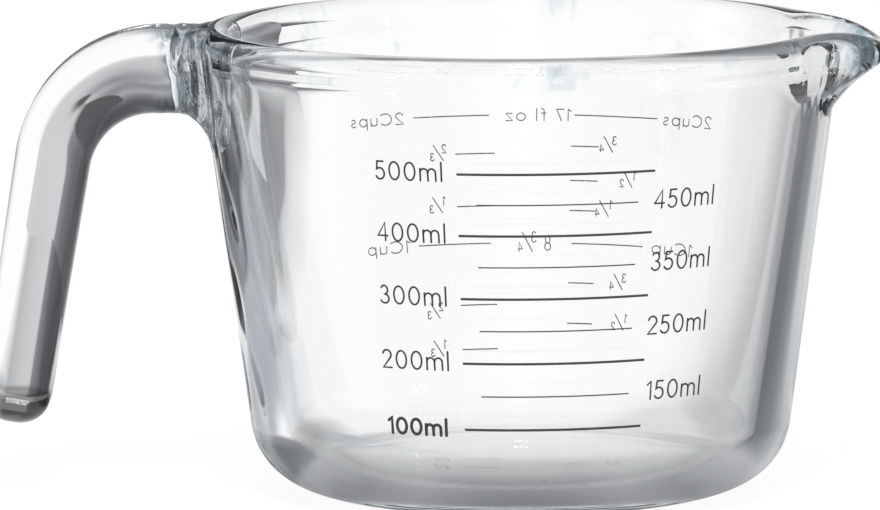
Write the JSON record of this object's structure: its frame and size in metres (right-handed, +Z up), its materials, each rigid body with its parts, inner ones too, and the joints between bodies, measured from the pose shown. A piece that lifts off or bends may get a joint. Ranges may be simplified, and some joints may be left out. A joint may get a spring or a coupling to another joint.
{
  "type": "measuring jug",
  "caption": "Low, wide measuring jug of clear pressed glass with a rounded rim, a beak spout, an open bar handle and fired enamel scales on the front and the back.",
  "frame": {"origin": "middle of the flat base, on the bowl's axis, at the height of the table", "axes": "+Z up along the bowl's axis, +X towards the spout, -X towards the handle, -Y is the front with the millilitre scale"},
  "size_m": [0.1772, 0.125, 0.09],
  "materials": {
    "clear_glass": "fire polished, clear, faintly green where it is thick",
    "fired_enamel": "satin dark grey print"
  },
  "bodies": {
    "root": {"glass_bowl": "clear_glass", "handle": "clear_glass", "millilitre_lines": "fired_enamel", "half_step_lines": "fired_enamel", "cup_lines": "fired_enamel", "third_cup_lines": "fired_enamel", "quarter_cup_lines": "fired_enamel"}
  },
  "joints": []
}
